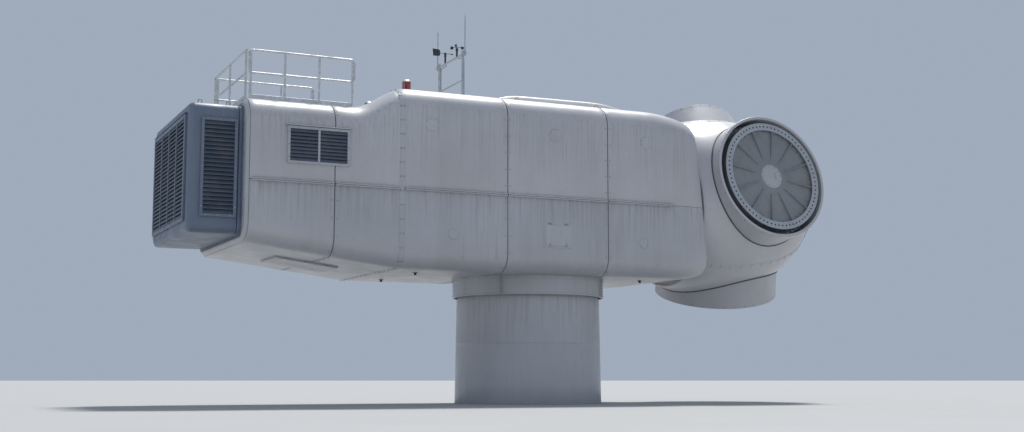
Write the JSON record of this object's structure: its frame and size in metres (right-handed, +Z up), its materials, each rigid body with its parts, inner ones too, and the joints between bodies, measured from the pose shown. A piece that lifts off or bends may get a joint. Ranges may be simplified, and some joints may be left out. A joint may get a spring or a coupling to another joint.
{
  "type": "wind turbine nacelle",
  "caption": "Wind turbine nacelle with rear cooler module, spinner and hub with blade-root flanges, yawing on the tower's uppermost can.",
  "frame": {"origin": "tower axis, in the plane of the tower-top can's lower flange face", "axes": "+X from the tower axis to the rotor nose, +Y to the nacelle's left side, +Z up"},
  "size_m": [16.0696, 5.1082, 8.71],
  "materials": {
    "shell_paint": "satin",
    "panel_paint": "satin",
    "cooler_paint": "satin",
    "grille": "satin",
    "tower_paint": "satin",
    "zinc_steel": "satin",
    "casting": "matte",
    "galvanised": "satin",
    "black_plastic": "matte",
    "red_lens": "gloss"
  },
  "bodies": {
    "tower_top": {"tower_can": "tower_paint", "lower_flange": "zinc_steel", "bolting_deck": "zinc_steel", "upper_flange": "zinc_steel", "yaw_gear_ring": "casting"},
    "nacelle": {"main_frame": "casting", "yaw_skirt": "shell_paint", "lower_shell_front": "shell_paint", "upper_shell_front": "shell_paint", "lower_shell_rear": "shell_paint", "upper_shell_rear": "shell_paint", "roof_fairing": "shell_paint", "front_bulkhead": "panel_paint", "shaft_collar": "casting", "rear_wall": "panel_paint", "cooler_block": "cooler_paint", "cooler_grille_rear": "grille", "cooler_grille_left": "grille", "cooler_grille_right": "grille", "side_vent_left": "grille", "side_vent_right": "grille", "roof_hatch_front": "panel_paint", "roof_hatch_rear": "panel_paint", "hoist_hatch": "panel_paint", "roof_rail_left": "galvanised", "roof_rail_right": "galvanised", "roof_rail_rear": "galvanised", "instrument_frame": "galvanised", "cup_anemometer": "black_plastic", "wind_vane": "black_plastic", "obstruction_light_left": "red_lens", "obstruction_light_right": "red_lens"},
    "rotor": {"spinner_shell": "shell_paint", "spinner_nose": "shell_paint", "spinner_backplate": "panel_paint", "hub_casting": "casting", "root_cuff_1": "shell_paint", "root_cuff_2": "shell_paint", "root_cuff_3": "shell_paint", "blade_bearing_1": "casting", "blade_bearing_2": "casting", "blade_bearing_3": "casting"},
    "blade_root_1": {"root_flange_1": "zinc_steel"},
    "blade_root_2": {"root_flange_2": "zinc_steel"},
    "blade_root_3": {"root_flange_3": "zinc_steel"}
  },
  "joints": [
    {"name": "yaw", "type": "hinge", "parent": "tower_top", "child": "nacelle", "pos_m": [0, 0, 2.69], "axis": [0, 0, 1], "continuous": true},
    {"name": "rotor_spin", "type": "hinge", "parent": "nacelle", "child": "rotor", "pos_m": [5.3, 0, 4.84], "axis": [-0.9962, 0, -0.0872], "continuous": true},
    {"name": "pitch_1", "type": "hinge", "parent": "rotor", "child": "blade_root_1", "pos_m": [5.56983, 0.61719, 2.95684], "axis": [0.1349, 0.3086, -0.9416], "range_deg": [0, 90]},
    {"name": "pitch_2", "type": "hinge", "parent": "rotor", "child": "blade_root_2", "pos_m": [5.27491, 1.33643, 6.32773], "axis": [-0.0125, 0.6682, 0.7439], "range_deg": [0, 90]},
    {"name": "pitch_3", "type": "hinge", "parent": "rotor", "child": "blade_root_3", "pos_m": [5.36808, -1.95361, 5.2628], "axis": [0.034, -0.9768, 0.2114], "range_deg": [0, 90]}
  ]
}
